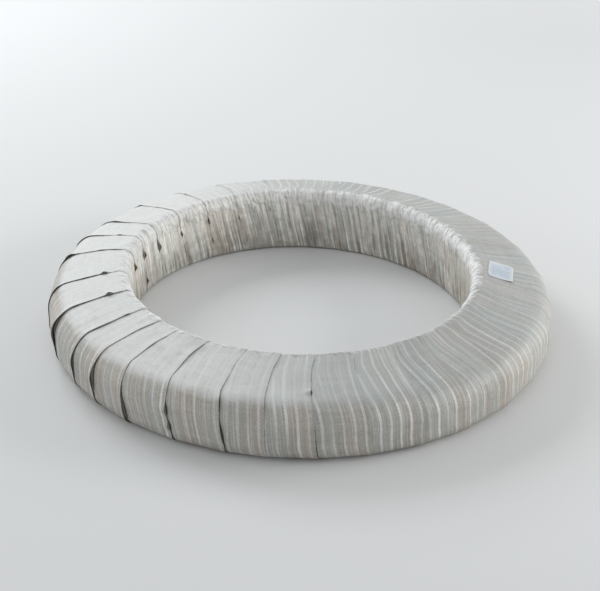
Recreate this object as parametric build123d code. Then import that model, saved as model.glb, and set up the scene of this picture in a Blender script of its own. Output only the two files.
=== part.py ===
"""A coil of steel packing strap, wrapped for storage in one strip of woven plastic cloth.

The strap is wound into a heavy ring with a plain round bore. The cloth strip runs round and round the
section of that ring, through the bore and back over the rim, each turn lapping the one before it,
until the whole ring is covered. Every turn lies a little higher at its loose edge than at the edge
that the turn before it covers, so the wrapped ring has shallow steps all the way round.
Sizes are in millimetres. The coil lies flat: its axis is +Z and the middle of its underside is at 0.
"""

from build123d import *

import math
import os

# The wound strap
COIL_BORE = 508.0
COIL_BUILD = 110.5
FACE_WIDTH = 97.4
RIM_LAND = 8.0
CROWN_ANGLE = 14.0
TOP_SHOULDER_RADIUS = 36.0
BOTTOM_EDGE_RADIUS = 18.0
BORE_EDGE_CHAMFER = 2.0
SHOULDER_FLAT_COUNT = 3
RIM_FLAT_COUNT = 3
BOTTOM_FLAT_COUNT = 2

# The cloth strip round it
WRAP_THICKNESS = 1.7
WRAP_CLEARANCE = 0.3
LAP_COUNT = 31
LAP_STEP = 1.6
LAND_BLEND_RADIUS = 42.0
BOTTOM_FOLD_RADIUS = 5.0
FOLD_FLAT_COUNT = 2
PRESSED_FLAT = 0.4
FIRST_LAP_ANGLE = -12.2

# The small paper label on the crown
LABEL_LONG = 50.0
LABEL_SHORT = 37.0
LABEL_THICKNESS = 0.25
LABEL_GAP = 0.4
LABEL_LAP = 0
LABEL_SHARE_OUT = 0.3
LABEL_TURN = -8.0

SPARE = 20.0

coil_bore_radius = COIL_BORE / 2
coil_outer_radius = coil_bore_radius + COIL_BUILD
shell = WRAP_CLEARANCE + WRAP_THICKNESS
wrap_bore_radius = coil_bore_radius - shell
coil_bottom = shell
coil_top = coil_bottom + FACE_WIDTH
lap_angle = 360.0 / LAP_COUNT
crown_slope = math.tan(math.radians(CROWN_ANGLE))
land_radius = coil_bore_radius + RIM_LAND


def chord_rise(radius):
    """How far a corner must stand out for the straight side between two corners to clear the radius."""
    return radius / math.cos(math.radians(lap_angle / 2)) - radius


def ring_corners(bore, outer, bottom, top):
    """The five corners of the ring's section: a flat underside and a crown that falls to the outside."""
    shoulder = top - (outer - land_radius) * crown_slope
    return [(bore, bottom), (outer, bottom), (outer, shoulder), (land_radius, top), (bore, top)]


def rounded(corners, bottom_radius, shoulder_radius, land_blend):
    """A closed section through the corners, with its two outer edges and the start of the crown rounded."""
    section = make_face(Polyline(*corners, close=True))
    for corner, radius in (
        (corners[1], bottom_radius),
        (corners[2], shoulder_radius),
        (corners[3], land_blend),
    ):
        nearest = section.vertices().sort_by_distance((corner[0], corner[1], 0))[0]
        section = fillet(nearest, radius)
    return section


def flats_on_arc(centre, radius, start, end, flats):
    """The corners of a few straight flats whose ends lie on an arc, from the start to the end angle."""
    angles = [math.radians(start + (end - start) * step / flats) for step in range(flats + 1)]
    return [(centre[0] + radius * math.cos(a), centre[1] + radius * math.sin(a)) for a in angles]


def turned_ring(gap):
    """The wound ring grown by a gap all round. Its edges are flats, where one row of turns ends lower."""
    bore = coil_bore_radius - gap
    outer = coil_outer_radius + gap
    bottom = coil_bottom - gap
    top = coil_top + gap
    bottom_radius = BOTTOM_EDGE_RADIUS + gap
    shoulder_radius = TOP_SHOULDER_RADIUS + gap
    rim_radius = RIM_LAND + gap
    crown_drop = (outer - shoulder_radius - land_radius) * crown_slope
    crown_gap = shoulder_radius / math.cos(math.radians(CROWN_ANGLE))
    bottom_centre = (outer - bottom_radius, bottom + bottom_radius)
    shoulder_centre = (outer - shoulder_radius, top - crown_drop - crown_gap)
    corners = [(bore, bottom + BORE_EDGE_CHAMFER), (bore + BORE_EDGE_CHAMFER, bottom)]
    corners += flats_on_arc(bottom_centre, bottom_radius, -90, 0, BOTTOM_FLAT_COUNT)
    corners += flats_on_arc(shoulder_centre, shoulder_radius, 0, 90 - CROWN_ANGLE, SHOULDER_FLAT_COUNT)
    corners += flats_on_arc((land_radius, top - rim_radius), rim_radius, 90, 180, RIM_FLAT_COUNT)
    section = make_face(Polyline(*corners, close=True))
    return revolve(Plane.XZ * section, Axis.Z)


def lap_plane(number):
    """The upright plane of a lap's edge, which passes through the axis of the coil."""
    turn = math.radians(FIRST_LAP_ANGLE + number * lap_angle)
    outward = Vector(math.cos(turn), math.sin(turn), 0)
    sideways = Vector(math.sin(turn), -math.cos(turn), 0)
    return Plane(origin=(0, 0, 0), x_dir=outward, z_dir=sideways)


def lap_corners(lift):
    """The corners of the wrapped section in a lap's plane, with the cloth standing off by the lift."""
    wrap_outer = coil_outer_radius + shell + chord_rise(coil_outer_radius + shell) + lift
    inside = wrap_bore_radius - SPARE
    return ring_corners(inside, wrap_outer, -PRESSED_FLAT, coil_top + shell + lift)


def lap_section(number, lift):
    """The rounded section at a lap's edge, set in that edge's plane."""
    section = rounded(
        lap_corners(lift),
        BOTTOM_EDGE_RADIUS + shell,
        TOP_SHOULDER_RADIUS + shell,
        LAND_BLEND_RADIUS,
    )
    return lap_plane(number) * section


def wrap_laps():
    """One wedge for each visible turn of cloth, low where it is covered and high at its loose edge."""
    laps = []
    for number in range(LAP_COUNT):
        covered = lap_section(number, 0.0)
        loose = lap_section(number + 1, LAP_STEP)
        laps.append(loft([covered, loose], ruled=True))
    return laps


def bore_opening():
    """The round way through the wrapped ring. It opens below, where the cloth folds under, and more at the rim."""
    fold = BOTTOM_FOLD_RADIUS
    rim = RIM_LAND + shell
    top = coil_top + shell + LAP_STEP
    corners = [(0, -SPARE), (wrap_bore_radius + fold, -SPARE)]
    corners += flats_on_arc((wrap_bore_radius + fold, fold), fold, -90, -180, FOLD_FLAT_COUNT)
    corners += flats_on_arc((land_radius, top - rim), rim, 180, 90, RIM_FLAT_COUNT)
    corners += [(land_radius, top + SPARE), (0, top + SPARE)]
    section = make_face(Polyline(*corners, close=True))
    return revolve(Plane.XZ * section, Axis.Z)


def wrapping():
    """The whole strip of cloth, lapped round the ring, hollow where the strap lies."""
    first, *rest = wrap_laps()
    body = first.fuse(*rest)
    floor = Pos(0, 0, -SPARE / 2) * Box(4 * coil_outer_radius, 4 * coil_outer_radius, SPARE)
    body = body - floor
    body = body - bore_opening()
    return body - turned_ring(WRAP_CLEARANCE)


def crown_point(number, lift, share_out):
    """A point on the crown line of a lap's edge, by its share of the way out from the land to the wall."""
    corners = lap_corners(lift)
    wall_corner, land_corner = corners[2], corners[3]
    across = land_corner[0] + share_out * (wall_corner[0] - land_corner[0])
    height = land_corner[1] + share_out * (wall_corner[1] - land_corner[1])
    return lap_plane(number).from_local_coords(Vector(across, height, 0))


def paper_label():
    """A thin paper rectangle that lies on the crown in the middle of one lap."""
    inner = crown_point(LABEL_LAP, 0.0, 0.0) + crown_point(LABEL_LAP + 1, LAP_STEP, 0.0)
    outer = crown_point(LABEL_LAP, 0.0, 1.0) + crown_point(LABEL_LAP + 1, LAP_STEP, 1.0)
    start = crown_point(LABEL_LAP, 0.0, LABEL_SHARE_OUT)
    end = crown_point(LABEL_LAP + 1, LAP_STEP, LABEL_SHARE_OUT)
    downhill = (outer - inner).normalized()
    upright = downhill.cross(end - start).normalized()
    seat = Plane(origin=(start + end) / 2, x_dir=downhill, z_dir=upright)
    paper = Box(LABEL_SHORT, LABEL_LONG, LABEL_THICKNESS, align=(Align.CENTER, Align.CENTER, Align.MIN))
    return seat * Pos(0, 0, LABEL_GAP) * Rot(0, 0, LABEL_TURN) * paper


def main():
    """Builds the three pieces and writes each to its own file."""
    os.makedirs("parts", exist_ok=True)
    pieces = {
        "strap_coil": turned_ring(0.0),
        "wrapping": wrapping(),
        "paper_label": paper_label(),
    }
    for name, piece in pieces.items():
        export_step(piece, f"parts/{name}.step")
        size = piece.bounding_box().size
        print(f"{name}: {size.X:.1f} x {size.Y:.1f} x {size.Z:.1f} mm, {piece.volume / 1e6:.3f} litres")


main()
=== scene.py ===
# %% [markdown]
# # A coil of packing strap in its woven wrap
#
# The object is a flat, heavy ring of steel packing strap that lies on its side. It is bandaged all over
# with one long strip of striped woven plastic cloth, which runs through the bore and back over the rim
# thirty-one times. A small blank paper label sticks to the top.
#
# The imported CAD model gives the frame: metres, the axis of the coil along +Z, the underside at zero. Every
# new piece below is worked out in that frame, so nothing has to be moved into place afterwards.

# %% The shared frame
import math

import bpy
import numpy as np
from mathutils import Matrix, Vector


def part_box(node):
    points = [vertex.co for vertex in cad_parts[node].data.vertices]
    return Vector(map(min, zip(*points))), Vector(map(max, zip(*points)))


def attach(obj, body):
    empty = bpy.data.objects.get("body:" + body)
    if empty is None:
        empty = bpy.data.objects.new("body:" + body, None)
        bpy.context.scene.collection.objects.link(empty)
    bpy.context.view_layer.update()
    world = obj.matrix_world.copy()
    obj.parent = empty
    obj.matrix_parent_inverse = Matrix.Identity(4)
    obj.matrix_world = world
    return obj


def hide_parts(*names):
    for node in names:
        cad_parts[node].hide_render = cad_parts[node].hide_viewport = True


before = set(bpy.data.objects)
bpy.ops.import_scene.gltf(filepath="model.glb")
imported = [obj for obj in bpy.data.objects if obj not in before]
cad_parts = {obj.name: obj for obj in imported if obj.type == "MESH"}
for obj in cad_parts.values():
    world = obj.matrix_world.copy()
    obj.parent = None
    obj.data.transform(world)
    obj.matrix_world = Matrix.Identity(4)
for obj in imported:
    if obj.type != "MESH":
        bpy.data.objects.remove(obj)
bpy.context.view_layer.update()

MM = 0.001

# %% [markdown]
# ## The camera
#
# The coil is seen from a standing person's height, about two metres in front of its axis and a little to the
# left, so the far side of the bore shows over the near rim. The camera stands at that measured place and
# looks at the middle of the coil. A long lens then fills the frame without changing the perspective, which
# only the distance sets. The horizon tips by about one degree, as it does in a hand-held picture.

# %% Camera
CAMERA_PLACE = Vector((-0.2294, -1.985, 1.132))
AIM = Vector((0.0, 0.004, 0.046))
LENS = 92.0
TIP = math.radians(1.2)

scene = bpy.context.scene
camera = bpy.data.objects.new("camera", bpy.data.cameras.new("camera"))
camera.data.lens = LENS
camera.data.clip_start = 0.05
camera.location = CAMERA_PLACE
look = (AIM - CAMERA_PLACE).to_track_quat("-Z", "Y").to_matrix()
camera.rotation_euler = (look @ Matrix.Rotation(TIP, 3, "Z")).to_euler()
scene.collection.objects.link(camera)
scene.camera = camera
print("camera is", round((AIM - CAMERA_PLACE).length, 3), "m from the coil")

# %% [markdown]
# ## Building materials from nodes
#
# A material is a small graph, called a node tree. One helper adds a node to the tree that is being made, sets
# its options, and fills each input either with a number or with a link from another node. The others are
# short names for the sums, smooth steps and mixes that every surface needs, so that a material below reads
# as a list of what lies on the surface.

# %% Node helpers
def fill(node, inputs):
    """Sets a node's inputs, each given by name or number, to a value or to a link from another node."""
    for socket, value in inputs.items():
        if isinstance(value, bpy.types.NodeSocket):
            node.id_data.links.new(value, node.inputs[socket])
        else:
            node.inputs[socket].default_value = value
    return node.outputs


def add_node(kind, inputs=None, **options):
    """Adds a shader node with its options and inputs to the current tree, and returns its outputs."""
    node = tree.nodes.new("ShaderNode" + kind)
    for option, value in options.items():
        setattr(node, option, value)
    return fill(node, inputs or {})


def calc(operation, *values):
    """One arithmetic node; returns its output."""
    return add_node("Math", dict(enumerate(values)), operation=operation)[0]


def times(product, *others):
    """All the values multiplied together."""
    for other in others:
        product = calc("MULTIPLY", product, other)
    return product


def minus(first, second):
    """The first value less the second."""
    return calc("SUBTRACT", first, second)


def weigh(total, *parts):
    """A first value plus each part times its weight."""
    for value, weight in parts:
        total = calc("ADD", times(value, weight), total)
    return total


def ramp(value, low, high, start=0.0, end=1.0):
    """A smooth step from start to end while the value goes from low to high."""
    inputs = {"Value": value, "From Min": low, "From Max": high, "To Min": start, "To Max": end}
    return add_node("MapRange", inputs, interpolation_type="SMOOTHSTEP")[0]


def blend(share, first, second, kind="MIX"):
    """Mixes two colours by a share from 0 to 1. The colour sockets of the Mix node are numbers 6 and 7."""
    return add_node("Mix", {0: share, 6: first, 7: second}, data_type="RGBA", blend_type=kind)[2]


def new_material(name):
    """A node material; returns it, its tree and its shader."""
    material = bpy.data.materials.new(name)
    material.use_nodes = True
    return material, material.node_tree, material.node_tree.nodes["Principled BSDF"]


# %% [markdown]
# ## Floor, daylight and background
#
# Wrapped cloth shows its folds best in soft light that comes mostly from one side. Here the main light is a
# wide window-like panel behind the coil and to its left. It makes the top pale, puts a sheen on the left of
# it, and leaves the near wall in shade, where the white stripes stand out. A weaker panel on the right
# reaches into the bore and lifts the right flank, a faint one at the left lifts the left flank, and a pale
# world fills the shadows.
#
# The floor is plain and pale. The world is nearly white where the camera or a reflection sees it, and dimmer
# as a light, which Light Path tells apart. Far from the coil the floor turns smoothly into the colour of that
# world, so a low view has no hard horizon.

# %% Floor
FLOOR_HALF = 6.0
FLOOR_COLOUR = (0.74, 0.75, 0.75, 1.0)
WORLD_FILL, WORLD_SEEN = 0.52, 0.9
WORLD_COLOUR = (0.97, 0.985, 1.0, 1.0)
FADE_START, FADE_END = 1.3, 2.5


def seen_rays():
    """One for a ray from the camera, off a gloss or through something clear, and zero for one that only
    lights: the largest of three marks of the ray."""
    path = add_node("LightPath")
    indirect = calc("MAXIMUM", path["Is Glossy Ray"], path["Is Transmission Ray"])
    return calc("MAXIMUM", path["Is Camera Ray"], indirect)


def fade_into_background(surface):
    """What is seen of the floor turns into the colour of the world with the distance from the axis."""
    away = add_node("VectorMath", {0: add_node("TexCoord")["Object"]}, operation="LENGTH")["Value"]
    faded = ramp(away, FADE_START, FADE_END, 0.0, seen_rays())
    glow = add_node("Emission", {"Color": WORLD_COLOUR, "Strength": WORLD_SEEN})[0]
    return add_node("MixShader", {0: faded, 1: surface, 2: glow})[0]


floor_mesh = bpy.data.meshes.new("floor")
floor_corners = [(x * FLOOR_HALF, y * FLOOR_HALF, 0) for x, y in ((-1, -1), (1, -1), (1, 1), (-1, 1))]
floor_mesh.from_pydata(floor_corners, [], [(0, 1, 2, 3)])
floor = bpy.data.objects.new("floor", floor_mesh)
scene.collection.objects.link(floor)
floor_paint, tree, shader = new_material("floor paint")
fill(shader, {"Base Color": FLOOR_COLOUR, "Roughness": 1.0, "Specular IOR Level": 0.0})
fill(tree.nodes["Material Output"], {"Surface": fade_into_background(shader.outputs[0])})
floor_mesh.materials.append(floor_paint)
print("floor of", 2 * FLOOR_HALF, "m, which fades out", FADE_START, "to", FADE_END, "m from the axis")

# %% Lights and world
PANELS = {
    "window_left": dict(place=(-1.5, 2.3, 1.7), size=(1.7, 1.4), power=52.0, colour=(0.96, 0.98, 1.0)),
    "window_right": dict(place=(2.4, -0.1, 0.8), size=(1.5, 0.9), power=34.0, colour=(1.0, 0.99, 0.97)),
    "window_side": dict(place=(-2.3, 0.1, 0.9), size=(1.2, 0.8), power=7.0, colour=(0.98, 0.99, 1.0)),
}
for name, panel in PANELS.items():
    lamp = bpy.data.lights.new(name, "AREA")
    lamp.shape = "RECTANGLE"
    lamp.size, lamp.size_y = panel["size"]
    lamp.energy = panel["power"]
    lamp.color = panel["colour"]
    stand = bpy.data.objects.new(name, lamp)
    stand.location = panel["place"]
    stand.rotation_euler = (-Vector(panel["place"])).to_track_quat("-Z", "Y").to_euler()
    scene.collection.objects.link(stand)

world = bpy.data.worlds.new("pale world")
scene.world = world
world.use_nodes = True
tree = world.node_tree
level = add_node("MapRange", {"Value": seen_rays(), "To Min": WORLD_FILL, "To Max": WORLD_SEEN})[0]
fill(tree.nodes["Background"], {"Color": WORLD_COLOUR, "Strength": level})
scene.view_settings.view_transform = "Standard"
print(len(PANELS), "light panels and a world fill of", WORLD_FILL)

# %% [markdown]
# ## The outline that the cloth is wound on
#
# Under the cloth is the wound ring. Its section has a flat underside, an upright bore, a soft rim, a crown
# that falls 14 degrees to the outside, a big round shoulder and a short upright wall. The cloth follows that
# outline all the way round, so the first thing to make is the outline itself: a line with rounded corners,
# sampled evenly by distance, with the direction that points out of the ring at each sample. It starts under
# the coil, where the strip's ends can't be seen, and goes in, up the bore, out over the crown and down the
# wall.

# %% Outline of the ring's section
OUTLINE_STEP = 0.25 * MM
BORE, OUTSIDE = 254.0 * MM, 364.5 * MM
UNDER, TOP = 2.0 * MM, 99.4 * MM
RIM_LAND = 8.0 * MM
CROWN_ANGLE = 14.0
CROWN_FALL = math.tan(math.radians(CROWN_ANGLE))
UNDERSIDE_START = (305.0 * MM, UNDER)
CORNERS = [
    UNDERSIDE_START,
    (BORE, UNDER),
    (BORE, TOP + RIM_LAND * CROWN_FALL),
    (OUTSIDE, TOP - (OUTSIDE - BORE - RIM_LAND) * CROWN_FALL),
    (OUTSIDE, UNDER),
    UNDERSIDE_START,
]
RIM_RADIUS, SHOULDER_RADIUS = 9.5 * MM, 36.0 * MM
CORNER_RADII = [4.0 * MM, RIM_RADIUS, SHOULDER_RADIUS, 18.0 * MM]


def unit(vector):
    """The same direction with length one."""
    return vector / np.linalg.norm(vector)


def rounded_outline(corners, radii, samples=24):
    """Straight runs joined by arcs. Each arc has its centre on the line that halves the corner, at the
    radius over the cosine of half the turn, so it touches both runs. Returns the points and the index of
    each arc's middle."""
    corners = np.asarray(corners, float)
    runs, middles, count = [corners[:1]], [], 1
    for before, corner, after, radius in zip(corners[:-2], corners[1:-1], corners[2:], radii):
        arrive, leave = unit(corner - before), unit(after - corner)
        half_turn = math.acos(np.clip(arrive @ leave, -1.0, 1.0)) / 2
        inward, forward = unit(leave - arrive), unit(arrive + leave)
        centre = corner + inward * radius / math.cos(half_turn)
        sweep = np.linspace(-half_turn, half_turn, samples)[:, None]
        runs.append(centre - radius * np.cos(sweep) * inward + radius * np.sin(sweep) * forward)
        middles.append(count + samples // 2)
        count += samples
    runs.append(corners[-1:])
    return np.concatenate(runs), middles


corner_points, arc_middles = rounded_outline(CORNERS, CORNER_RADII)
walked = np.r_[0.0, np.cumsum(np.hypot(*np.diff(corner_points, axis=0).T))]
PERIMETER = walked[-1]
along = np.arange(0.0, PERIMETER, OUTLINE_STEP)
ring_r = np.interp(along, walked, corner_points[:, 0])
ring_z = np.interp(along, walked, corner_points[:, 1])
slope_r, slope_z = np.gradient(ring_r, along), np.gradient(ring_z, along)
out_r, out_z = -slope_z, slope_r
INNER_FOOT, RIM, SHOULDER, FOOT = (walked[index] for index in arc_middles)
CROWN = RIM + RIM_RADIUS * math.radians((90 + CROWN_ANGLE) / 2)
SHOULDER_HALF = SHOULDER_RADIUS * math.radians((90 - CROWN_ANGLE) / 2)
print("outline", round(PERIMETER, 4), "m; rim at", round(RIM, 4), "shoulder at", round(SHOULDER, 4))

# %% [markdown]
# ## Where the edges of the turns run
#
# Each turn of the strip covers one edge of the turn beside it and leaves its own other edge loose. The loose
# edges are the dark lines that cross the crown. They are uneven, because the strip is wound by hand: some
# are 8 degrees apart and one pair nearly 16. Seen from above an edge runs almost straight out over the
# crown, leans a little down the wall, and makes the rest of its advance underneath and in the bore, so that
# after one trip round the section it has moved on by one turn.
#
# The edges are a table of angles on the crown, one for each turn, and one curve of sideways drift that all
# share. A few turns on the left front lean further than the others down the wall, which a second small
# table gives. A fraction of a turn falls between two rows of a table. Small slow waves keep the cut edge
# from looking ruled.

# %% Edge angles
TURNS = 31
EDGE_ANGLES = np.array([
    145.0, 154.4, 164.5, 180.3, 193.0, 206.2, 214.6, 222.6, 234.0, 246.5, 256.4, 266.2, 277.5, 289.8, 300.2,
    312.6, 325.0, 335.8, 347.4, 359.8, 373.0, 387.5, 402.0, 412.5, 421.8, 432.4, 443.6, 454.2, 467.0, 479.2,
    491.8,
])
EVEN_PITCH = 360.0 / TURNS
WALL_FOOT = FOOT - 14 * MM
DRIFT_PLACES = [
    0.0, INNER_FOOT, RIM, CROWN + 25 * MM, SHOULDER - SHOULDER_HALF, SHOULDER, WALL_FOOT, PERIMETER,
]
DRIFT_DEGREES = [0.0, 3.4, 8.0, 6.3, 6.0, 6.5, 6.9, EVEN_PITCH]
DRIFT_SPREAD = 8 * MM
LEAN_TURNS, LEAN_DEGREES = [-1, 6, 7, 9, 10, 12, 31], [0.6, 0.6, 1.8, 1.8, 0.4, 0.2, 0.6]
MEASURED_AT = CROWN + 40 * MM
CROWN_DRIFT = 6.1
EDGE_WAVE, WAVE_LENGTH, WAVE_SEED = 0.7 * MM, 34 * MM, 5
HILLS = 256


def soft_noise(across, onward, seed):
    """Smooth random hills from 0 to 1. Each whole number pair has a random height, and a point between four
    of them blends those heights with an S-shaped weight in each direction."""
    heights = np.random.default_rng(seed).random((HILLS, HILLS))
    across, onward = np.broadcast_arrays(across, onward)
    left, low = np.floor(across).astype(int), np.floor(onward).astype(int)
    u, v = across - left, onward - low
    u, v = u * u * (3 - 2 * u), v * v * (3 - 2 * v)
    left, low, right, high = left % HILLS, low % HILLS, (left + 1) % HILLS, (low + 1) % HILLS
    near = heights[left, low] * (1 - u) + heights[right, low] * u
    far = heights[left, high] * (1 - u) + heights[right, high] * u
    return near * (1 - v) + far * v


def part(distance, reach):
    """The distance as a share of the reach, kept between 0 and 1."""
    return np.clip(distance / reach, 0, 1)


def drift(place):
    """Sideways drift in degrees at a distance round the section, from straight runs between the named places,
    averaged over a short spread so that an edge never kinks."""
    spots = np.asarray(place)[..., None] + np.linspace(-DRIFT_SPREAD, DRIFT_SPREAD, 17)
    trips = np.floor(spots / PERIMETER)
    degrees = np.interp(spots - trips * PERIMETER, DRIFT_PLACES, DRIFT_DEGREES) + trips * EVEN_PITCH
    return degrees.mean(-1)


def edge_angle(turn, place):
    """Angle in degrees of a turn's loose edge. The table gives how far each edge is from an even spacing.
    That shift is blended from turn to turn along the strip. The even spacing, the drift, the lean down the
    wall and a small wave are added to it."""
    turn, place = np.broadcast_arrays(np.asarray(turn, float), np.asarray(place, float))
    even = EDGE_ANGLES[0] + EVEN_PITCH * np.arange(TURNS)
    shift = EDGE_ANGLES - even
    where = turn + place / PERIMETER - MEASURED_AT / PERIMETER
    uneven = np.interp(where % TURNS, np.arange(TURNS + 1), np.r_[shift, shift[0]])
    radius = np.interp(place, along, ring_r)
    wave = soft_noise((turn % TURNS) * 17.0, place / WAVE_LENGTH, WAVE_SEED) - 0.5
    wave = wave * part(np.minimum(place, PERIMETER - place), 20 * MM)
    down_wall = np.interp(place, [SHOULDER - SHOULDER_HALF, WALL_FOOT, FOOT + 25 * MM], [0.0, 1.0, 0.0])
    lean = down_wall * np.interp(turn % TURNS, LEAN_TURNS, LEAN_DEGREES)
    even_here = EDGE_ANGLES[0] - CROWN_DRIFT + EVEN_PITCH * turn
    return even_here + drift(place) + lean + uneven + np.degrees(EDGE_WAVE * wave / radius)


on_crown = edge_angle(np.arange(TURNS), np.full(TURNS, MEASURED_AT))
print("edges on the crown, in degrees:", np.round(on_crown, 1))

# %% [markdown]
# ## How high each turn lies
#
# Thirty-one turns lap each other all the way round, so no turn is the top one. That works if every turn
# climbs by one step from edge to edge, as the slats of a fan do: at any spot the turn above is exactly one
# step higher than the turn below, whatever the width of the lap there. Distance across is therefore
# measured in laps: 0 at the loose edge, -1 where the turn before it has its own edge, and on under that.
#
# Cloth pulled tight round a ring also bridges from edge to edge like the side of a polygon, so a turn stands
# out most along its edges, and in the bore it stands off most in its middle. Underneath, the weight of the
# coil presses everything flat.

# %% Heights of the turns
CLOTH = 0.28 * MM
HEIGHT_PLACES = [
    0.0, INNER_FOOT, INNER_FOOT + 20 * MM, RIM - 6 * MM, CROWN, SHOULDER - SHOULDER_HALF,
    SHOULDER + SHOULDER_HALF, FOOT - 10 * MM, FOOT + 12 * MM, PERIMETER,
]
LOOSE_HEIGHT = [1.7, 1.75, 2.1, 2.2, 2.6, 3.0, 3.2, 3.1, 1.8, 1.7]
LAP_CLIMB = [0.5, 0.5, 0.55, 0.6, 0.75, 0.85, 0.95, 0.95, 0.55, 0.5]
BRIDGE_OUTSIDE, BRIDGE_BORE = 0.6, 0.5
LOWEST_LAP = -3.0


def lap_position(turn, place, angle):
    """Laps from the turn's loose edge, 0 at the edge and negative under the turns before it. Between two
    edges it is the share of the gap, so it is worked out gap by gap with the three edges before this one."""
    edges = [edge_angle(turn - back, place) for back in range(4)]
    position = -(edges[0] - angle) / (edges[0] - edges[1])
    for back in (1, 2):
        beyond = -back - (edges[back] - angle) / (edges[back] - edges[back + 1])
        position = np.where(angle < edges[back], beyond, position)
    return position


def resting_height(position, place):
    """Height of the cloth over the wound ring. It falls by the climb for each lap under the neighbours, plus
    the bridge: a parabola between edges, highest at the edges outside and in the middle in the bore."""
    loose = np.interp(place, HEIGHT_PLACES, LOOSE_HEIGHT) * MM
    climb = np.interp(place, HEIGHT_PLACES, LAP_CLIMB) * MM
    between = 2 * (-position % 1.0) - 1
    chord = np.interp(place, along, ring_r) * (1 - math.cos(math.pi / TURNS))
    outward = np.interp(place, along, out_r)
    bulge = BRIDGE_OUTSIDE * np.clip(outward, 0, 1) * between**2
    hollow = BRIDGE_BORE * np.clip(-outward, 0, 1) * (1 - between**2)
    return loose + climb * np.maximum(position, LOWEST_LAP) + chord * (bulge + hollow)


# %% [markdown]
# ## Creases and gathers
#
# A flat strip can't lie on a ring without some fullness. It is gathered into short pleats at the rim, where
# each turn has narrowed by nearly a third, it has long shallow pulls across the crown, and it is a little
# buckled where it turns over the shoulder. All of these stand outwards, because the ring holds the cloth up
# from below.
#
# Each crease field is smooth noise stretched along or across the strip and faded in near the place where it
# belongs. Two turns that lie on each other get the same field, taken from the upper one, so they keep their
# distance and never cut through each other.

# %% Crease fields
FULL_TURNS, FULL_SHARE = [0, 5, 14, 17, 20, 24, 27, 30], [1.3, 0.8, 0.9, 1.5, 2.2, 2.0, 1.4, 1.4]
PLEAT, TUCK, PULL, DENT, BUCKLE, GATHER = 0.9, 0.8, 0.9, 0.7, 0.8, 1.7


def near(place, centre, reach):
    """One at a place and fading to nothing within about twice the reach, as a bell curve."""
    return np.exp(-(((place - centre) / reach) ** 2))


def ridges(noise, valley, gain):
    """The part of the noise above the valley level, times the gain, so that ridges stand on level ground."""
    return np.clip(noise - valley, 0, 1) * gain


def creases(turn, position, place):
    """Height of all creases. The number of the upper turn, less one, makes a jump in the noise of each field,
    so each turn is creased on its own. The distance across is in laps, so a crease follows the strip."""
    upper = np.ceil(turn + position - 1e-9) - 1
    share = turn + position - upper
    upper = upper % TURNS
    jump = upper * 31.0
    free = part(place - INNER_FOOT, 15 * MM) * part(FOOT + 6 * MM - place, 20 * MM)
    full = np.interp(upper, FULL_TURNS, FULL_SHARE)
    pleat = soft_noise(share * 6.2 + jump, place / (21 * MM), 11)
    pleat = ridges(pleat, 0.42, 2.2) * near(place, RIM + 1 * MM, 15 * MM)
    tuck = soft_noise(share * 9.5 + jump, place / (9 * MM), 12)
    tuck = ridges(tuck, 0.45, 2.0) * near(place, RIM + 2 * MM, 10 * MM)
    pull = soft_noise(share * 2.6 + place / (60 * MM) + jump, place / (46 * MM) - share * 0.8, 13)
    dent = soft_noise(share * 1.5 + jump, place / (30 * MM), 14)
    buckle = soft_noise(share * 4.5 - place / (26 * MM) + jump, place / (13 * MM) + share * 1.2, 15)
    buckle = ridges(buckle, 0.5, 2.0) * near(place, SHOULDER + 4 * MM, 20 * MM)
    gather = soft_noise(share * 7.0 + jump, place / (24 * MM) + share * 1.4, 16)
    gather = ridges(gather, 0.36, 1.7) * part(RIM - place, 12 * MM)
    at_bends = full * (PLEAT * pleat + TUCK * tuck)
    return free * MM * (at_bends + PULL * pull**2 + DENT * dent + BUCKLE * buckle + GATHER * gather)


tallest = creases(20, np.linspace(-1, 0, 50)[:, None], along[None, :]).max()
print("the tallest crease of one turn is", round(float(tallest), 4), "m")

# %% [markdown]
# ## Open edges
#
# Where the winding was slack, the loose edge stands off the turn beside it and a dark slit or a small
# eye-shaped opening shows. The long slits are on the left shoulder, and there is a row of small eyes about
# 30 mm down the bore. A table says on which turn each one is, how far from the rim along the section, how
# long and how high. Between them, every edge still stands off by a varying small amount, less on the
# turns that were wound tight, and least of all on a few at the back that are pressed flat.

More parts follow.
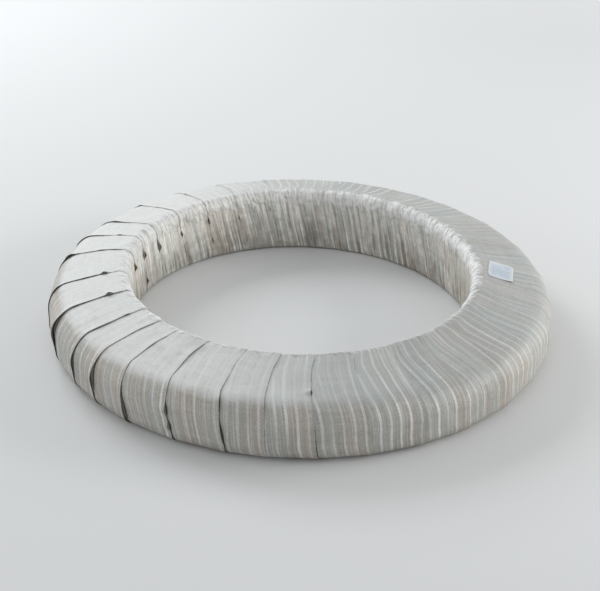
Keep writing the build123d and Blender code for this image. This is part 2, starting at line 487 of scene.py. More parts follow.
# %% Openings along the loose edges
LIFT_REACH, LIFT_CURVE = 13.0 * MM, 1.4
LEAST_GAPE, MOST_GAPE = 0.1 * MM, 1.0 * MM
HELD_SHARE = 0.12
SLACK_TURNS, SLACK_SHARE = [0, 9, 13, 17, 24, 27, 29, 30], [1.0, 1.0, 0.7, 0.5, 0.3, 0.1, 0.2, 0.6]
PRESSED_TURNS, PRESSED = [21, 24, 28, 29, 30], [0.0, 0.4 * MM, 0.4 * MM, 0.2 * MM, 0.0]
OPENINGS = [
    # turn, distance from the rim, half length, height, all in mm but the turn
    (0, -33, 10, 6.2), (1, -26, 8, 5.2), (2, -27, 7, 4.8), (3, -24, 4, 2.4), (30, -34, 4, 4.0),
    (29, -28, 7, 4.4), (28, -35, 5, 3.0), (27, -26, 4, 2.4), (1, -76, 5, 3.2), (29, -64, 4, 3.0),
    (22, -30, 16, 1.2), (30, 88, 5, 1.0), (29, 66, 4, 1.3), (0, 60, 30, 0.4), (0, 76, 7, 0.9),
    (1, 33, 7, 1.2), (1, 95, 25, 0.9), (2, 94, 9, 2.8), (2, 45, 9, 0.7), (3, 28, 5, 3.4), (3, 60, 24, 0.8),
    (3, 100, 16, 1.0), (4, 29, 5, 3.6), (4, 122, 26, 4.4), (4, 78, 20, 1.0), (5, 27, 5, 1.4),
    (5, 70, 34, 1.3), (5, 130, 18, 2.6), (6, 128, 22, 3.4), (7, 150, 34, 3.8), (8, 123, 8, 4.2),
    (8, 145, 7, 3.8), (8, 166, 8, 2.4), (9, 100, 14, 2.2), (9, 138, 18, 4.0), (9, 168, 14, 3.0),
    (11, 74, 5, 4.6), (11, 150, 26, 1.6), (13, 120, 16, 1.4), (15, 60, 20, 1.2), (17, 138, 20, 1.6),
    (18, 82, 10, 0.8), (20, 40, 12, 1.2), (22, 8, 8, 1.2), (22, 126, 20, 2.2), (24, 146, 22, 1.8),
    (28, 120, 20, 1.6),
]


def gape(turn, place):
    """How far a turn's loose edge stands off, from slow noise between two limits plus a bell for each
    opening. In the bore and over the rim the edge is held down, and the noise fades in over the first part
    of the crown."""
    slack = soft_noise(turn * 13.0, place / (27 * MM), 21)
    free = part(place - INNER_FOOT, 15 * MM) * part(FOOT + 2 * MM - place, 16 * MM)
    held_down = HELD_SHARE + (1 - HELD_SHARE) * part(place - RIM - 8 * MM, 18 * MM)
    lifted = LEAST_GAPE + (MOST_GAPE - LEAST_GAPE) * slack**2
    lifted = lifted * np.interp(turn, SLACK_TURNS, SLACK_SHARE)
    lifted = held_down * (lifted - np.interp(turn, PRESSED_TURNS, PRESSED))
    for which, beyond_rim, half_length, height in OPENINGS:
        bell = near(place, RIM + beyond_rim * MM, 0.8 * half_length * MM)
        lifted = lifted + np.where(turn == which, height * MM * bell, 0.0)
    return lifted * free


print(len(OPENINGS), "openings, besides the small gape along every edge")

# %% [markdown]
# ## The strip of cloth
#
# The real strip is one piece, so the mesh is one piece too: a thin closed cross-section carried along the
# strip for all thirty-one trips round the ring. Its upper side has columns close together at the loose edge,
# where the cloth curls, and wider apart where the turn before it hides it. Its lower side has only a few of
# those columns. It lies one cloth thickness below the upper side at the loose edge, and a little more further
# in, so that its long flat faces don't cut through a bend. Rows lie close together on the rim and shoulder
# and far apart on the flat underside. Both ends are closed and meet underneath.
#
# The piece has three UV maps of its own. One keeps real distances, across the strip and along it, in metres.
# The stripes and the weave follow it, so they bend with the cloth. Another says how many laps a spot is from
# the loose edge of its turn, and the last how far the turn that covers it stands off there, so that a painted
# shade can lie along the covering edge, widest where it gapes.

# %% Rows and columns of the strip
ROWS = 98
ROW_PLACES = [
    0.0, INNER_FOOT - 8 * MM, INNER_FOOT, INNER_FOOT + 12 * MM, RIM - 22 * MM, RIM - 4 * MM, RIM + 8 * MM,
    CROWN + 20 * MM, SHOULDER - 30 * MM, SHOULDER - 15 * MM, SHOULDER + 20 * MM, FOOT - 12 * MM, FOOT,
    PERIMETER,
]
ROW_GAPS = [14.0, 8.0, 2.2, 5.2, 3.8, 1.7, 2.0, 3.2, 3.6, 2.9, 2.9, 3.6, 4.2, 14.0]
TOP_COLUMNS = MM * np.r_[0, 2, 4.5, 7.5, 11, 14.8, np.arange(19.2, 76, 4.7), 83, 92, 102, 112]
UNDER_COLUMNS = [0, 2, 4, 7, 11, 15, 18, 20, len(TOP_COLUMNS) - 1]
FREE_COLUMNS = 3
CHORD_SAG = 0.2 * MM
END_GAP = 2 * MM


def spread_rows(count, places, gaps):
    """Distances round the section whose spacing follows the wanted gaps: the sum of one over the gap grows
    evenly from row to row."""
    density = 1.0 / np.interp(along, places, gaps)
    grown = np.cumsum(density)
    return np.interp(np.arange(count) * grown[-1] / count, np.r_[0.0, grown], np.r_[along, PERIMETER])


row_place = spread_rows(ROWS, ROW_PLACES, ROW_GAPS)
strip_place = np.r_[np.tile(row_place, TURNS), PERIMETER - END_GAP][:, None]
strip_turn = np.r_[np.repeat(np.arange(TURNS), ROWS), TURNS - 1][:, None]
print(len(strip_place), "rows;", len(TOP_COLUMNS), "columns above and", len(UNDER_COLUMNS), "below")

# %% Surface of the strip
def on_ring(angle, place, height):
    """The point at an angle round the ring and a height over the outline at a place on it."""
    radius = np.interp(place, along, ring_r) + height * np.interp(place, along, out_r)
    upward = np.interp(place, along, ring_z) + height * np.interp(place, along, out_z)
    turned = np.radians(angle)
    return np.stack([radius * np.cos(turned), radius * np.sin(turned), upward + 0 * turned], axis=-1)


across = TOP_COLUMNS[None, :]
loose_edge = edge_angle(strip_turn, strip_place)
radius_here = np.interp(strip_place, along, ring_r)
angle = loose_edge - np.degrees(across / radius_here)
position = lap_position(strip_turn, strip_place, angle)
place = np.broadcast_to(strip_place, angle.shape)
curl = np.clip(1 - across / LIFT_REACH, 0, 1) ** LIFT_CURVE
resting = resting_height(position, place) + curl * gape(strip_turn, strip_place)
crease = creases(strip_turn, position, place)
upper_side = on_ring(angle, place, resting + crease)


def underside(resting, crease, inward):
    """Height of the underside, which has few columns, so that a straight line between two of them could cut
    through a bend of the upper side. Near the loose edge it stays one cloth thickness below. Further in it
    takes the lowest height as far as the columns beside it, less the sag of a chord where the surface is
    hollow."""
    last = len(UNDER_COLUMNS) - 1
    heights = []
    for order, column in enumerate(UNDER_COLUMNS):
        if order < FREE_COLUMNS:
            heights.append(resting[:, column] + crease[:, max(column - 2, 0):column + 3].min(axis=1))
        else:
            window = slice(UNDER_COLUMNS[order - 1], UNDER_COLUMNS[min(order + 1, last)] + 1)
            heights.append((resting + crease)[:, window].min(axis=1) - CHORD_SAG * inward)
    return np.stack(heights, axis=1) - CLOTH


under = (slice(None), UNDER_COLUMNS)
inward = np.clip(-np.interp(strip_place[:, 0], along, out_r), 0, 1)
lower_side = on_ring(angle[under], place[under], underside(resting, crease, inward))
strip_points = np.concatenate([upper_side, lower_side[:, ::-1]], axis=1)
middle_line = upper_side[:, len(TOP_COLUMNS) // 2]
steps = np.linalg.norm(np.diff(middle_line, axis=0), axis=1)
strip_along = np.r_[0.0, np.cumsum(steps)]


# %% Mesh of the strip
def closed_sweep(points):
    """Faces of a closed section carried along rows: a four-sided face between each point, the next one round
    the section, and the same two in the next row, and one many-sided face at each end."""
    rows, count = points.shape[:2]
    corner = np.arange(count)
    first = (np.arange(rows - 1) * count)[:, None]
    after = np.roll(corner, -1)
    faces = np.stack([first + corner, first + after, first + count + after, first + count + corner], axis=-1)
    faces = faces.reshape(-1, 4).tolist()
    faces.append(list(range(count))[::-1])
    faces.append(list(range((rows - 1) * count, rows * count)))
    return faces


def mesh_piece(name, points, faces, uv_maps, sharp_angle):
    """A mesh object at the origin from a grid of points, with named UV maps and smooth shading that breaks at
    angles sharper than the given one."""
    mesh = bpy.data.meshes.new(name)
    mesh.from_pydata(points.reshape(-1, 3).tolist(), [], faces)
    corners = np.empty(len(mesh.loops), np.int32)
    mesh.loops.foreach_get("vertex_index", corners)
    for map_name, uv in uv_maps.items():
        layer = mesh.uv_layers.new(name=map_name)
        layer.data.foreach_set("uv", uv.reshape(-1, 2)[corners].astype(np.float32).ravel())
    mesh.shade_smooth()
    mesh.set_sharp_from_angle(angle=math.radians(sharp_angle))
    mesh.validate()
    piece = bpy.data.objects.new(name, mesh)
    scene.collection.objects.link(piece)
    return piece


SHARP_ANGLE = 50.0
section_across = np.r_[TOP_COLUMNS, TOP_COLUMNS[UNDER_COLUMNS][::-1]]
strip_uv = np.stack(np.broadcast_arrays(section_across[None, :], strip_along[:, None]), axis=-1)
lap_shares = np.concatenate([position, position[under][:, ::-1]], axis=1)
lap_uv = np.stack(np.broadcast_arrays(lap_shares, strip_turn + strip_place / PERIMETER), axis=-1)
cover_gape = np.maximum(gape((strip_turn - 1) % TURNS, strip_place), 0) / MM
gape_uv = np.stack(np.broadcast_arrays(cover_gape, lap_shares), axis=-1)
maps = {"cloth": strip_uv, "laps": lap_uv, "gape": gape_uv}
wrap = mesh_piece("woven_wrap", strip_points, closed_sweep(strip_points), maps, SHARP_ANGLE)
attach(wrap, "root")
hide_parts("wrapping")
print("woven wrap has", sum(len(face.vertices) - 2 for face in wrap.data.polygons), "triangles")

# %% [markdown]
# ## The paper label
#
# A small plain sticker lies on the crown on the right, its long side along the ring. It is thin enough to
# follow the cloth under it, so it is a small grid that takes its height from the same functions as the cloth
# does, and one corner has come up a little. Solidify gives it the thickness of paper.

# %% Label
LABEL_SIZE = (37.0 * MM, 50.0 * MM)
LABEL_TURN = math.radians(-14.4)
LABEL_PAPER, LABEL_LIFT = 0.2 * MM, 0.35 * MM
CURLED_CORNER, LIFTED_CORNERS = 1.6 * MM, 0.5 * MM
CORNER_WEAR = 0.10
LABEL_CELLS, LABEL_SHARP_ANGLE = (18, 24), 60.0
LABEL_TURN_NUMBER = 19
lowest_corner, highest_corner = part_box("paper_label")
centre = (np.array(lowest_corner) + np.array(highest_corner)) / 2


def label_sheet(cells):
    """Points of the label. Two shares from -1 to 1 give a place on the paper, that gives an angle and a
    radius on the crown, and the cloth's height there plus a small lift gives the height. Two corners are
    worn round, and of the other two both lift a little and one curls up."""
    a, b = np.meshgrid(np.linspace(-1, 1, cells[0] + 1), np.linspace(-1, 1, cells[1] + 1), indexing="ij")
    corner = 1 - CORNER_WEAR * np.clip(a * b, 0, 1) ** 6
    u, v = a * corner * LABEL_SIZE[0] / 2, b * corner * LABEL_SIZE[1] / 2
    x = centre[0] + u * math.cos(LABEL_TURN) - v * math.sin(LABEL_TURN)
    y = centre[1] + u * math.sin(LABEL_TURN) + v * math.cos(LABEL_TURN)
    radius, turned = np.hypot(x, y), np.degrees(np.arctan2(y, x)) % 360
    crown = (along > CROWN - 8 * MM) & (along < SHOULDER)
    spot = np.interp(radius, ring_r[crown], along[crown])
    where = lap_position(LABEL_TURN_NUMBER, spot, turned)
    height = resting_height(where, spot) + creases(LABEL_TURN_NUMBER, where, spot)
    height = height + LABEL_LIFT + CURLED_CORNER * np.clip((a - b) / 2, 0, 1) ** 5
    height = height + LIFTED_CORNERS * np.clip(-a * b, 0, 1) ** 3
    return on_ring(turned, spot, height), np.stack([u, v], axis=-1)


def grid_faces(rows, columns):
    """Four-sided faces of a grid of points, all wound the same way."""
    start = (np.arange(rows - 1) * columns)[:, None] + np.arange(columns - 1)
    return np.stack([start, start + columns, start + columns + 1, start + 1], axis=-1).reshape(-1, 4).tolist()


label_points, label_uv = label_sheet(LABEL_CELLS)
label_faces = grid_faces(*label_points.shape[:2])
label = mesh_piece("paper_sticker", label_points, label_faces, {"paper": label_uv}, LABEL_SHARP_ANGLE)
thickness = label.modifiers.new("paper thickness", "SOLIDIFY")
thickness.thickness = LABEL_PAPER
thickness.offset = 1.0
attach(label, "root")
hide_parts("paper_label")
print("label at", np.round(centre, 3), "metres")

# %% [markdown]
# ## Shared effects
#
# An effect that more than one material uses goes into a node group, which hands back plain numbers: a mask
# or a height. There are two. **Crumple** is the fine net of dents that stiff sheet takes on, in cloth and in
# paper: smooth noise for the dents, and straight-edged cells for the facets between folds. **Grime** is dust
# and handling marks: broad patches broken up by finer ones, which spread as the cover goes up.

# %% Group helpers
def new_group(name, inputs, outputs):
    """An empty node group with named inputs of the given kinds and named number outputs."""
    group = bpy.data.node_groups.new(name, "ShaderNodeTree")
    for socket, kind in inputs.items():
        group.interface.new_socket(socket, in_out="INPUT", socket_type="NodeSocket" + kind)
    for socket in outputs:
        group.interface.new_socket(socket, in_out="OUTPUT", socket_type="NodeSocketFloat")
    return group, group.nodes.new("NodeGroupInput").outputs, group.nodes.new("NodeGroupOutput")


def use_group(group, inputs):
    """Places a group in a material. It gets its tree first, because that is what gives it its inputs."""
    node = tree.nodes.new("ShaderNodeGroup")
    node.node_tree = group
    return fill(node, inputs)


# %% Crumple and grime groups
FOLD_BEND, FACET_SLOPE = 0.45, 2.5
FINE_TIMES, FINE_SHARE = 9.0, 0.55
BARE_LEVEL, COVER_SHARE, SOFT_EDGE = 0.78, 0.55, 0.22

crumple, given, result = new_group(
    "crumple", {"Place": "Vector", "Scale": "Float", "Lines": "Float"}, ["Height"],
)
tree = crumple
pattern = {"Vector": given["Place"], "Scale": given["Scale"]}
dents = add_node("TexNoise", {**pattern, "Detail": 2.0})[0]
sideways = add_node("TexNoise", {**pattern, "Detail": 1.0})[1]
push = calc("DIVIDE", FOLD_BEND, given["Scale"])
sideways = add_node("VectorMath", {0: sideways, "Scale": push}, operation="SCALE")[0]
bent = add_node("VectorMath", {0: given["Place"], 1: sideways}, operation="ADD")[0]
from_fold = add_node("TexVoronoi", {**pattern, "Vector": bent}, feature="DISTANCE_TO_EDGE")[0]
facets = calc("MINIMUM", times(from_fold, FACET_SLOPE), 1.0)
fill(result, {"Height": weigh(dents, (facets, given["Lines"]))})

grime, given, result = new_group("grime", {"Place": "Vector", "Scale": "Float", "Cover": "Float"}, ["Mask"])
tree = grime
pattern = {"Vector": given["Place"], "Scale": given["Scale"]}
broad = add_node("TexNoise", {**pattern, "Detail": 3.0})[0]
fine_scale = times(given["Scale"], FINE_TIMES)
fine = add_node("TexNoise", {**pattern, "Scale": fine_scale, "Detail": 4.0})[0]
patchy = weigh(broad, (minus(fine, 0.5), FINE_SHARE))
edge = weigh(BARE_LEVEL, (given["Cover"], -COVER_SHARE))
fill(result, {"Mask": ramp(minus(patchy, edge), 0.0, SOFT_EDGE)})


def crumpled(place, scale, lines):
    """Height of the crumple group, with so many dents to a metre."""
    return use_group(crumple, {"Place": place, "Scale": scale, "Lines": lines})["Height"]


def grimy(scale, cover):
    """Mask of the grime group at the current place, with so many patches to a metre."""
    return use_group(grime, {"Place": place, "Scale": scale, "Cover": cover})["Mask"]


print("shared groups:", crumple.name, "and", grime.name)

# %% [markdown]
# ## Woven tape cloth
#
# The cloth is woven from flat plastic tapes a little over 2 mm wide, like the cloth of a sack. Lengthwise and
# crosswise tapes pass over and under each other, and every sixth lengthwise tape is white, which makes the
# stripes. A group works out, from the distance across and along, which tape is on top and how high it is, and
# gives each tape a small tone of its own.

# %% Tape weave group
TAPE = 2.33 * MM
STRIPE_EVERY = 6
ARCH_SHARE, FLAT_SHARE = 0.6, 0.4
GAP_START, GAP_END = 0.40, 0.5
ROW_NAME = 0.37
tapes, given, result = new_group(
    "crossing tapes", dict.fromkeys(["Across", "Along", "Tape"], "Float"), ["Lengthwise", "Height", "Tone"],
)
tree = tapes


def one_way(distance):
    """For the tapes of one direction: the number of the tape, the arch of the other tapes over it, highest at
    its middle, and one on the tape with a fall to nothing at its two edges."""
    count = calc("DIVIDE", distance, given["Tape"])
    off_middle = minus(calc("FRACT", count), 0.5)
    arch = calc("COSINE", times(off_middle, math.pi))
    gap = ramp(calc("ABSOLUTE", off_middle), GAP_START, GAP_END, 1.0, 0.0)
    return calc("FLOOR", count), arch, gap


which_across, arch_cross, gap_across = one_way(given["Across"])
which_along, arch_long, gap_along = one_way(given["Along"])
turns_up = calc("FLOORED_MODULO", weigh(which_across, (which_along, 1.0)), 2.0)
turns_down = minus(1.0, turns_up)
arch = weigh(times(arch_long, turns_up), (arch_cross, turns_down))
tape_name = weigh(
    times(which_across, turns_up), (weigh(ROW_NAME, (which_along, 1.0)), turns_down),
)
tone = add_node("TexWhiteNoise", {"W": tape_name}, noise_dimensions="1D")[0]
flat_tape = calc("MINIMUM", gap_across, gap_along)
height = weigh(0.0, (arch, ARCH_SHARE), (flat_tape, FLAT_SHARE))
fill(result, {"Lengthwise": turns_up, "Height": height, "Tone": tone})
print("tapes of", TAPE, "m, every", STRIPE_EVERY, "th one white")

# %% [markdown]
# ## Where on the cloth
#
# Stripes, streaks and folds follow the strip, so their noise is stretched along it. Dust, rubbing, painted
# light and shade, and gathers keep to parts of the coil: the bore, the rim, the left side. The limits of the
# rim are frayed by noise, because the cloth is rubbed and painted with a highlight there in tufts.

# %% Places on the strip and on the coil
BORE_LIMITS = 253.5 * MM, 260.0 * MM
RIM_HEIGHTS, RIM_LIMITS = (75.0 * MM, 90.0 * MM), (257.0 * MM, 267.0 * MM)
TUFT_HEIGHT, TUFT_REACH = 44.0 * MM, 17.0 * MM


def coil_place():
    """The place on the coil in metres: as one vector, as x, y and z, and as the distance from the axis, which
    is the root of x squared plus y squared."""
    place = add_node("TexCoord")["Object"]
    x, y, z = add_node("SeparateXYZ", {0: place})
    return place, x, y, z, calc("SQRT", weigh(times(x, x), (y, y)))


def read_map(name):
    """The values of one of the piece's own UV maps."""
    return add_node("SeparateXYZ", {0: add_node("UVMap", uv_map=name)[0]})


def stretched(across, onward):
    """The place on the strip, with its two distances stretched."""
    return add_node("Mapping", {"Vector": strip_place_uv, "Scale": (across, onward, 1.0)})[0]


def streaks(across, onward, detail):
    """Noise stretched along the strip, with so many features to a metre across it and along it."""
    return add_node("TexNoise", {"Vector": stretched(across, onward), "Scale": 1.0, "Detail": detail})[0]


def slow_noise(distance, scale, detail):
    """Noise along one line, with so many features to each unit of the distance."""
    inputs = {"W": distance, "Scale": scale, "Detail": detail}
    return add_node("TexNoise", inputs, noise_dimensions="1D")[0]


cloth, tree, shader = new_material("woven plastic tapes")
strip_place_uv = add_node("UVMap", uv_map="cloth")[0]
u, v, _ = add_node("SeparateXYZ", {0: strip_place_uv})
place, x, y, z, from_axis = coil_place()
in_bore = ramp(from_axis, *BORE_LIMITS, 1.0, 0.0)
upper_bore = times(in_bore, ramp(z, 10 * MM, 85 * MM))
on_left = ramp(x, -0.26, -0.06, 1.0, 0.0)
tufts = minus(streaks(110.0, 60.0, 2.0), 0.5)
high_up = ramp(weigh(z, (tufts, TUFT_HEIGHT)), *RIM_HEIGHTS)
at_rim = times(high_up, ramp(weigh(from_axis, (tufts, TUFT_REACH)), *RIM_LIMITS, 1.0, 0.0))
print("the bore ends", BORE_LIMITS, "m from the axis, the rubbed rim", RIM_LIMITS, "m from it")

# %% [markdown]
# ## The colours of the cloth
#
# The natural tapes are a greyish beige and the white ones nearly white. No two tapes are quite alike: each
# has a tone of its own, some are cooler and some browner, and the white ones are worn to different widths.
# The slow changes come from noise that is stretched along the strip, so they read as streaks, and a fine
# mottling breaks them up; faint bands across the strip are painted crinkle shade. Where the cloth is gathered
# over the rim and in the bore, the stripes are drawn closer together, in some places more than in others, and
# in the bore broken painted highlights and painted shade follow the folds. The bore is painted lighter than
# the outside, most in its upper part and on the left, near the light, and its white stripes are a lighter
# copy.

# %% Stripes
BEIGE, BEIGE_CROSS = (0.385, 0.368, 0.330, 1.0), (0.440, 0.425, 0.390, 1.0)
# The second white is a lighter copy for the stripes in the bore, which is painted lighter.
WHITE, WHITE_LIT_IN_BORE = (0.82, 0.82, 0.81, 1.0), (0.95, 0.95, 0.93, 1.0)
STRIPE_SPACING = TAPE * STRIPE_EVERY
SWAY, PINCH = 0.9 * MM, 6 * MM
DRAWN_TO, DRAWN_SHARE = 26 * MM, 0.25

drawn = ramp(from_axis, 253 * MM, 290 * MM, DRAWN_SHARE, 0.0)
sway = minus(slow_noise(v, 17.0, 1.0), 0.5)
pinch = times(minus(streaks(48.0, 5.0, 1.0), 0.5), in_bore)
swayed = weigh(u, (sway, SWAY), (minus(u, DRAWN_TO), drawn), (pinch, PINCH))
weave = use_group(tapes, {"Across": swayed, "Along": v, "Tape": TAPE})
stripe_count = calc("DIVIDE", swayed, STRIPE_SPACING)
from_stripe = calc("ABSOLUTE", minus(calc("FRACT", stripe_count), 0.5))
stripe = calc("LESS_THAN", from_stripe, weigh(0.075, (streaks(70.0, 11.0, 1.0), 0.09)))
worn = times(
    ramp(streaks(60.0, 7.0, 2.0), 0.34, 0.62, 0.30, 1.0),
    ramp(streaks(8.0, 1.4, 0.0), 0.36, 0.62, 0.55, 1.0),
    ramp(x, 0.10, 0.30, 1.0, 0.5),
    ramp(x, -0.24, -0.11, 0.5, 1.0),
)
stripe_share = times(stripe, worn, weigh(0.7, (weave["Lengthwise"], 0.3)))
print("a white stripe every", round(STRIPE_SPACING, 4), "m across the strip")

# %% Tones
COOL, WARM = (0.965, 1.00, 1.005, 1.0), (1.02, 0.98, 0.955, 1.0)


def toned(colour, tone):
    """The colour times a tone that changes over the surface."""
    return add_node("VectorMath", {0: colour, "Scale": tone}, operation="SCALE")[0]


# The crinkle noise is painted shade: faint dark and light bands across the strip, where crinkles would shade
# it.
streak, crinkle_shade, mottle = streaks(210.0, 8.0, 3.0), streaks(24.0, 110.0, 2.0), streaks(300.0, 210.0, 1.0)
tone_parts = {
    "each tape": (weave["Tone"], 0.10),
    "slow along the strip": (slow_noise(v, 2.6, 0.0), 0.38),
    "narrow streaks": (streak, 0.44),
    "broad streaks": (streaks(34.0, 5.0, 1.0), 0.20),
    "crinkles across": (crinkle_shade, 0.26),
    "fine mottling": (mottle, 0.36),
}
tone = weigh(0.14, *tone_parts.values())
# Painted shade and painted highlights along the folds in the bore, and painted light that makes the whole
# bore paler, more in its upper part and on the left, near the light.
fold_shade = ramp(streaks(170.0, 11.0, 2.0), 0.52, 0.59, 0.0, -0.52)
fold_highlights = ramp(streaks(150.0, 14.0, 2.0), 0.54, 0.61, 0.0, 0.55)
broken = minus(streaks(140.0, 55.0, 2.0), 0.5)
bore_light_and_tone = weigh(0.16, (fold_shade, 1.0), (broken, 0.9), (on_left, 0.22))
upper_bore_light = weigh(0.46, (fold_highlights, 1.0))
bore_light_shade_and_tone = weigh(1.0, (bore_light_and_tone, in_bore), (upper_bore_light, upper_bore))

ground = blend(weave["Lengthwise"], BEIGE_CROSS, BEIGE)
ground = blend(ramp(streaks(430.0, 5.0, 1.0), 0.50, 0.66, 0.0, 0.34), ground, WHITE)
tint = blend(ramp(streaks(26.0, 3.0, 1.0), 0.40, 0.60), COOL, WARM)
ground = toned(blend(1.0, ground, tint, "MULTIPLY"), bore_light_shade_and_tone)
striped = blend(stripe_share, ground, blend(in_bore, WHITE, WHITE_LIT_IN_BORE))
clean_cloth = toned(striped, tone)
print(len(tone_parts), "parts in the tone:", ", ".join(tone_parts))

# %% [markdown]
# ## Dust, wear, painted sheen and painted shade on the cloth
#
# A pale layer lies on the crown, where it faces up: partly settled dust and partly a painted sheen. It is
# thick and pale on the left, where the sheen is painted, and makes the stripes there faint, and thin and
# duller on the right flank, in painted shade. A little of it also paints the upper bore lighter. The cloth is
# darker and browner low in the bore, less so on the left, and along the foot. A near-black painted shade lies
# along each covered edge, widest and darkest where the edge over it gapes. The cloth is smudged a little
# everywhere.
# The rim is painted pale in tufts, partly rubbed and partly a painted highlight, brightest on the right and
# at the back, with painted shade in the pleats between them.
#
# The layer is placed by the direction that the surface faces, the edge shade by the distance from the edge,
# and the rest by height and by distance from the axis.

# %% Dust and painted sheen on the crown, and smudges
# The grey is used for the smudges and, in the rim's pleats, for painted shade.
GREY_DIRT_AND_SHADE, LOW_BROWN = (0.20, 0.185, 0.165, 1.0), (0.27, 0.225, 0.18, 1.0)
# The two layer colours: pale with a painted sheen for the lit left of the crown, and duller for the right, in
# painted shade.
PALE_DUST_AND_SHEEN, DULL_DUST_IN_SHADE = (0.725, 0.740, 0.725, 1.0), (0.348, 0.390, 0.400, 1.0)
SIDES = -0.20, 0.20

faces_up = add_node("SeparateXYZ", {0: add_node("NewGeometry")["Normal"]})[2]
# Dust and painted sheen: the layer is thicker and paler on the left, where the light gives a sheen, and
# thinner on the right.
dust_and_sheen_reach = weigh(ramp(x, 0.02, 0.24, 0.70, 0.10), (at_rim, -0.5))
dust_and_sheen = times(
    weigh(ramp(x, *SIDES, 0.70, 0.24), (grimy(9.0, 0.9), 0.18)),
    ramp(faces_up, dust_and_sheen_reach, 0.96),
    weigh(0.40, (streak, 0.40), (crinkle_shade, 0.40), (mottle, 0.40)),
)
# Painted light: a little of the pale layer lightens the upper bore.
dust_and_sheen = calc("MAXIMUM", dust_and_sheen, times(upper_bore, 0.18))
colour = blend(dust_and_sheen, clean_cloth, blend(ramp(x, *SIDES), PALE_DUST_AND_SHEEN, DULL_DUST_IN_SHADE))
colour = blend(times(grimy(7.0, 0.32), 0.20), colour, GREY_DIRT_AND_SHADE)
print("the film gets thinner and duller from x =", SIDES[0], "to", SIDES[1], "m")

# %% Painted shade along the covered edges
# Painted shade: a near-black line on the lower turn along each covering edge, where the gap under that edge
# is in shade, wider and darker where it gapes, fainter at the back.
EDGE_SHADE = (0.045, 0.044, 0.04, 1.0)
SHADE_WIDTH, SHADE_WIDTH_OPEN = 0.004, 0.0105

laps = read_map("laps")
beyond_edge = calc("ADD", laps[0], 1.0)
opened = read_map("gape")[0]
shade_width = weigh(SHADE_WIDTH, (calc("MINIMUM", opened, 4.0), SHADE_WIDTH_OPEN))
shade_grip = weigh(ramp(slow_noise(laps[1], 26.0, 1.0), 0.36, 0.62, 0.10, 0.85), (opened, 0.35))
shade_grip = times(shade_grip, ramp(y, 0.20, 0.32, 1.0, 0.4))
edge_shade = times(
    ramp(calc("DIVIDE", beyond_edge, shade_width), 0.55, 1.05, 1.0, 0.0),
    ramp(beyond_edge, -0.02, 0.0),
    calc("MINIMUM", shade_grip, 0.95),
)
colour = blend(edge_shade, colour, EDGE_SHADE)
print("painted_shade", SHADE_WIDTH, "of a lap wide at a closed edge, and", SHADE_WIDTH_OPEN, "more for each mm of gape")

# %% Darker low bore and foot, and wear and painted highlight on the rim
# A near-white for the rim's tufts: partly rubbed cloth, partly a painted highlight.
RUBBED_AND_LIT = (0.90, 0.91, 0.90, 1.0)
# The cloth is made darker and browner low in the bore, less so on the left, and along the foot.
low_in_bore = times(
    in_bore,
    weigh(0.10, (ramp(z, 12 * MM, 85 * MM, 1.0, 0.0), 0.44)),
    weigh(1.0, (on_left, -0.5)),
)
low_cover = calc("MAXIMUM", low_in_bore, ramp(z, 2 * MM, 30 * MM, 0.40, 0.0))
colour = blend(times(grimy(8.0, 0.8), low_cover), colour, LOW_BROWN)
# Partly wear and partly a painted highlight: the rim is painted near-white in tufts, most on the right and at
# the back, where it catches the light.
scuff_and_highlight = times(
    weigh(0.48, (grimy(110.0, 0.8), 0.52)),
    ramp(x, -0.06, 0.20, 0.62, 1.0),
    ramp(y, -0.26, -0.04, 0.40, 1.0),
    at_rim,
)
colour = blend(scuff_and_highlight, colour, RUBBED_AND_LIT)
pleats = streaks(190.0, 12.0, 2.0)
# Painted shade: the pleats between the rim's pale tufts are darkened.
colour = blend(times(ramp(pleats, 0.38, 0.48, 0.34, 0.0), at_rim), colour, GREY_DIRT_AND_SHADE)
# The rim's pale tufts are partly wear and partly a painted highlight; the low bore and foot are darker and
# browner.
print("dust in the bore and at the foot, wear on the rim")

# %% [markdown]
# ## Gloss and relief of the cloth
#
# Plastic tape shines a little where it is clean, and the pale layer and the darker low parts dull it. Four
# reliefs lie on each other, from the finest to the coarsest: the crossing tapes, long pulls along the strip,
# the net of dents, which is deeper where the cloth is gathered and shallower under the pale layer, and the
# tucks over the rim.

# %% Cloth roughness and bumps
def bump(height, strength, depth, below=None):
    """A relief of up to the depth, on top of the one below if there is one."""
    inputs = {"Height": height, "Strength": strength, "Distance": depth}
    if below is not None:
        inputs["Normal"] = below
    return add_node("Bump", inputs)[0]


rough = weigh(0.32, (streak, 0.22), (low_cover, 0.25), (dust_and_sheen, 0.25))
gathered = weigh(1.0, (calc("MAXIMUM", in_bore, at_rim), 1.2))
wrinkled = times(crumpled(place, 42.0, 0.35), gathered, weigh(1.0, (dust_and_sheen, -0.6)))
tucked = times(weigh(crumpled(stretched(1.0, 0.45), 120.0, 1.0), (pleats, 1.2)), at_rim)
relief = bump(weave["Height"], 0.45, 0.25 * MM)
relief = bump(streaks(140.0, 6.0, 3.0), 0.6, 1.5 * MM, relief)
relief = bump(wrinkled, 0.5, 2.2 * MM, relief)
relief = bump(tucked, 0.7, 1.9 * MM, relief)
fill(shader, {"Base Color": colour, "Roughness": rough, "Normal": relief, "IOR": 1.49})
wrap.data.materials.append(cloth)
print("the cloth has", len(tree.nodes), "nodes")

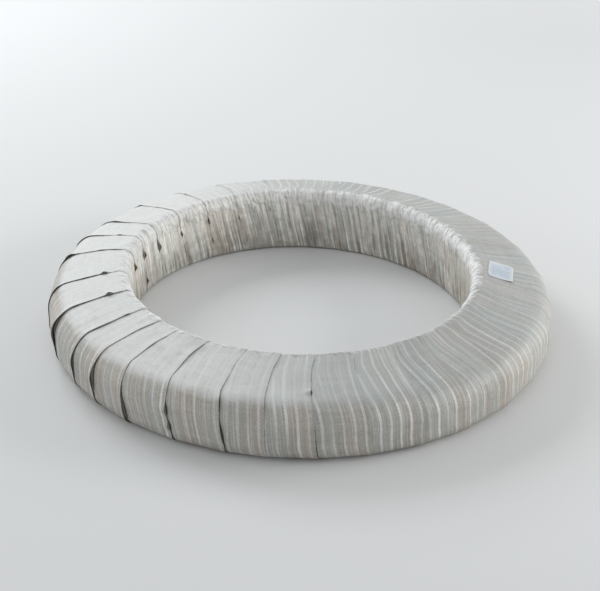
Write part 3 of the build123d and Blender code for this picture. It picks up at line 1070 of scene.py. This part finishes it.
# %% [markdown]
# ## Paper
#
# The sticker is bluish white with a paler border, matt, a little crumpled, and greyed by handling. Its own UV
# map gives the distances from its middle, and the larger one, as a share of half the sheet, tells how near
# the border is.

# %% Paper material
PAPER_WHITE, PAPER_GREY = (0.57, 0.63, 0.70, 1.0), (0.36, 0.42, 0.50, 1.0)
PAPER_BORDER = (0.66, 0.685, 0.695, 1.0)
paper, tree, shader = new_material("label paper")
place = coil_place()[0]
colour = blend(times(grimy(45.0, 0.85), 0.45), PAPER_WHITE, PAPER_GREY)
from_middle = read_map("paper")
share_across, share_along = (
    calc("DIVIDE", calc("ABSOLUTE", from_middle[side]), LABEL_SIZE[side] / 2) for side in (0, 1)
)
border = ramp(calc("MAXIMUM", share_across, share_along), 0.58, 0.98, 0.0, 0.8)
colour = blend(border, colour, PAPER_BORDER)
relief = bump(crumpled(place, 60.0, 0.5), 0.7, 1.2 * MM)
fill(shader, {"Base Color": colour, "Roughness": 0.6, "Normal": relief})
label.data.materials.append(paper)
print("the paper has", len(tree.nodes), "nodes")

# %% [markdown]
# ## Steel under the wrap
#
# The wound steel only shows as darkness in the openings, but it is a real piece and may be looked at with the
# wrap hidden. The strap is blued and lightly oiled. It lies on edge, so its top and underside show more than
# a hundred fine rings, one for each turn, and its bore and wall are the flat of the strap.

# %% Steel material
STRAP_THICKNESS = 0.9 * MM
BLUED, DULL = (0.085, 0.095, 0.115, 1.0), (0.035, 0.033, 0.032, 1.0)
steel, tree, shader = new_material("blued strap steel")
place, *_, from_axis = coil_place()
turn_count = calc("DIVIDE", from_axis, STRAP_THICKNESS)
turn_height = calc("SINE", times(turn_count, 2 * math.pi))
turn_tone = add_node("TexWhiteNoise", {"W": calc("FLOOR", turn_count)}, noise_dimensions="1D")[0]
colour = blend(times(grimy(12.0, 0.4), 0.6), BLUED, DULL)
rough = weigh(0.32, (turn_tone, 0.15))
relief = bump(turn_height, 0.4, 0.2 * MM)
fill(shader, {"Base Color": colour, "Metallic": 1.0, "Roughness": rough, "Normal": relief})
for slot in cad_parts["strap_coil"].material_slots:
    slot.material = steel
print("materials:", ", ".join(material.name for material in (cloth, paper, steel)))
